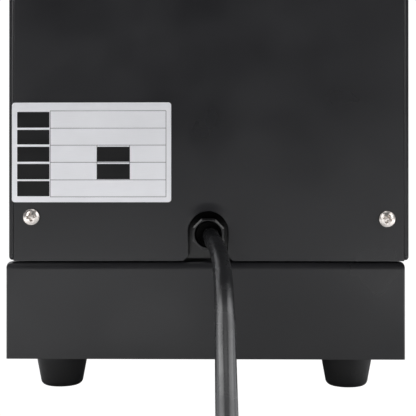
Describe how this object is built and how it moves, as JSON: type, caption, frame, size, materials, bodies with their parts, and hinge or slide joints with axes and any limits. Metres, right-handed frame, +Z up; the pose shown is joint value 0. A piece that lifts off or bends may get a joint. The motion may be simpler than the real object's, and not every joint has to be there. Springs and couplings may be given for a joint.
{
  "type": "can seamer",
  "caption": "Bench can seamer: box base on rubber feet, column and overhanging head, turning chuck, swinging roller yoke, lever-lifted can table and a mains cord at the rear.",
  "frame": {"origin": "on the floor under the middle of the machine's footprint, cord left out", "axes": "+Z up, -Y is the front where the can goes in, +Y is the rear where the cord leaves, +X is to the right seen from the front"},
  "size_m": [0.27, 0.6122, 0.5171],
  "materials": {
    "black_powder_coat": "satin black powder coat",
    "black_rubber": "matt black rubber",
    "bright_screws": "bright nickel plate",
    "black_screws": "black oxide",
    "plated_sheet": "zinc-plated sheet",
    "grey_steel": "grey primer",
    "plate_metal": "brushed silver plate",
    "black_nylon": "glossy black nylon",
    "turned_steel": "turned steel",
    "tool_steel": "ground tool steel",
    "cast_aluminium": "machined cast aluminium",
    "cam_steel": "machined steel, oiled",
    "motor_paint": "dark grey enamel",
    "panel_plastic": "grey control plate",
    "switch_plastic": "black moulded plastic",
    "green_plastic": "green button cap",
    "lamp_lens": "red lens",
    "board": "circuit board with components",
    "cord_sheath": "glossy black PVC sheath"
  },
  "bodies": {
    "frame": {"base_shell": "black_powder_coat", "bottom_plate": "plated_sheet", "bottom_plate_screws": "bright_screws", "rubber_feet": "black_rubber", "foot_screws": "bright_screws", "column_frame": "grey_steel", "cap_screws": "black_screws", "chassis_back_plate": "plated_sheet", "back_plate_screws": "bright_screws", "side_panel_left": "black_powder_coat", "side_panel_right": "black_powder_coat", "side_panel_screws": "bright_screws", "rear_cover": "black_powder_coat", "rear_cover_screws": "bright_screws", "column_front_cover": "black_powder_coat", "head_cover": "black_powder_coat", "rating_plate": "plate_metal", "strain_relief_bushing": "black_nylon", "head_plate": "grey_steel", "spindle_housing": "cast_aluminium", "spindle_bearings": "turned_steel", "motor_bridge": "grey_steel", "bridge_pillars": "grey_steel", "motor_gearbox": "cast_aluminium", "motor_body": "motor_paint", "pivot_screw": "turned_steel", "lift_guide": "cam_steel", "sleeve_retaining_ring": "turned_steel", "control_panel": "panel_plastic", "control_bezels": "switch_plastic", "indicator_lamp": "lamp_lens", "control_board": "board", "power_cord": "cord_sheath", "cord_coil": "cord_sheath", "plug_lead": "cord_sheath", "power_plug": "cord_sheath"},
    "lift_lever": {"cam_sleeve": "cam_steel", "lift_lever_rod": "turned_steel", "lift_lever_knob": "black_nylon"},
    "stem": {"lift_stem": "turned_steel", "cross_pin": "turned_steel", "thrust_bearing": "turned_steel"},
    "table": {"can_table": "cast_aluminium", "table_pad": "black_rubber"},
    "chuck": {"spindle": "turned_steel", "seaming_chuck": "tool_steel", "spindle_fasteners": "turned_steel", "drive_gear": "tool_steel"},
    "rotor": {"motor_pinion": "turned_steel"},
    "yoke": {"seaming_yoke": "cast_aluminium", "roller_pins": "turned_steel", "roller_retainers": "turned_steel", "yoke_handle_rod": "turned_steel", "yoke_handle_knob": "black_nylon"},
    "first_roller": {"first_roller": "tool_steel"},
    "second_roller": {"second_roller": "tool_steel"},
    "start_button": {"start_button": "green_plastic"},
    "power_rocker": {"power_rocker": "switch_plastic"},
    "speed_knob": {"speed_knob": "switch_plastic"}
  },
  "joints": [
    {"name": "lever_turn", "type": "hinge", "parent": "frame", "child": "lift_lever", "pos_m": [0, -0.055, 0.0906], "axis": [0, 0, 1], "range_deg": [0, 90]},
    {"name": "table_lift", "type": "slide", "parent": "frame", "child": "stem", "axis": [0, 0, 1], "range_m": [0, 0.012]},
    {"name": "table_spin", "type": "hinge", "parent": "stem", "child": "table", "pos_m": [0, -0.055, 0.1186], "axis": [0, 0, 1], "continuous": true},
    {"name": "chuck_spin", "type": "hinge", "parent": "frame", "child": "chuck", "pos_m": [0, -0.055, 0.2966], "axis": [0, 0, 1], "continuous": true},
    {"name": "motor_spin", "type": "hinge", "parent": "frame", "child": "rotor", "pos_m": [0, 0.0125, 0.3836], "axis": [0, 0, 1], "continuous": true},
    {"name": "seam_swing", "type": "hinge", "parent": "frame", "child": "yoke", "pos_m": [0, 0.005, 0.3179], "axis": [0, 0, 1], "range_deg": [-6.4, 6.4]},
    {"name": "first_roller_spin", "type": "hinge", "parent": "yoke", "child": "first_roller", "pos_m": [-0.056, -0.055, 0.2961], "axis": [0, 0, 1], "continuous": true},
    {"name": "second_roller_spin", "type": "hinge", "parent": "yoke", "child": "second_roller", "pos_m": [0.056, -0.055, 0.2961], "axis": [0, 0, 1], "continuous": true},
    {"name": "start_press", "type": "slide", "parent": "frame", "child": "start_button", "axis": [0, 1, 0], "range_m": [0, 0.003], "stiffness_N_per_m": 400},
    {"name": "power_rock", "type": "hinge", "parent": "frame", "child": "power_rocker", "pos_m": [-0.054, -0.1218, 0.4216], "axis": [1, 0, 0], "range_deg": [0, 16]},
    {"name": "speed_turn", "type": "hinge", "parent": "frame", "child": "speed_knob", "pos_m": [0.054, -0.123, 0.4216], "axis": [0, 1, 0], "range_deg": [0, 270]}
  ],
  "couplings": [
    {"joint": "table_lift", "follows": "lever_turn", "m_per_rad": 0.0076394},
    {"joint": "motor_spin", "follows": "chuck_spin", "ratio": -4}
  ]
}
